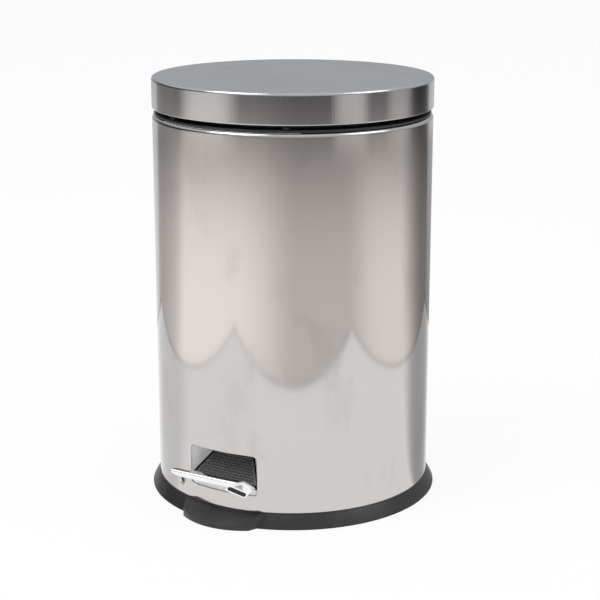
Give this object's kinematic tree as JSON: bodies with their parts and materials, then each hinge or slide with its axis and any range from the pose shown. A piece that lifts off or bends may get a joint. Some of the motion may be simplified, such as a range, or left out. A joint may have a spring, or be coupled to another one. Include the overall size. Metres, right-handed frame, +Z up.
{
  "type": "pedal bin",
  "caption": "Round polished steel pedal bin with a black base ring, a lift-out bucket and a flat lid raised by a pedal, lever and push rod.",
  "frame": {"origin": "on the floor, at the middle of the bin's overall box, which is also the body's axis", "axes": "+Z up, pedal towards -Y, hinge towards +Y"},
  "size_m": [0.31, 0.36, 0.445],
  "materials": {
    "polished_steel": "mirror polished with fine upright streaks",
    "satin_steel": "satin",
    "chrome": "bright",
    "black_plastic": "low sheen",
    "grey_plastic": "low sheen",
    "black_rubber": "matt, dotted"
  },
  "bodies": {
    "body": {"body_shell": "polished_steel", "base_ring": "black_plastic", "base_plate": "satin_steel", "recess_surround": "polished_steel", "toe_ramp": "black_rubber", "pivot_bracket_left": "satin_steel", "pivot_bracket_right": "satin_steel", "pivot_pin": "satin_steel", "rod_guide_lower": "black_plastic", "rod_guide_upper": "black_plastic", "top_collar": "black_plastic", "hinge_housing": "black_plastic", "hinge_pin": "satin_steel", "carry_handle": "chrome", "handle_foot_left": "chrome", "handle_foot_right": "chrome", "inner_bucket": "grey_plastic", "bail_ear_left": "grey_plastic", "bail_ear_right": "grey_plastic", "bucket_bail": "satin_steel", "bail_grip": "black_plastic"},
    "lid": {"lid_cover": "satin_steel", "lid_liner": "black_plastic", "lid_hinge_arm": "black_plastic", "lid_buffer_left": "black_rubber", "lid_buffer_right": "black_rubber"},
    "pedal": {"pedal_lever": "satin_steel", "pedal_plate": "chrome"},
    "rod": {"push_rod": "satin_steel", "rod_foot": "black_plastic", "rod_tip_pad": "black_plastic"}
  },
  "joints": [
    {"name": "lid_hinge", "type": "hinge", "parent": "body", "child": "lid", "pos_m": [0, 0.1564, 0.41818], "axis": [-1, 0, 0], "range_deg": [0, 75]},
    {"name": "pedal_pivot", "type": "hinge", "parent": "body", "child": "pedal", "pos_m": [0, -0.13, 0.0325], "axis": [1, 0, 0], "range_deg": [0, 18.5]},
    {"name": "rod_slide", "type": "slide", "parent": "body", "child": "rod", "axis": [0, 0, 1], "range_m": [0, 0.0241]}
  ],
  "couplings": [
    {"joint": "pedal_pivot", "follows": "lid_hinge", "ratio": 0.24667},
    {"joint": "rod_slide", "follows": "lid_hinge", "m_per_rad": 0.0184}
  ]
}
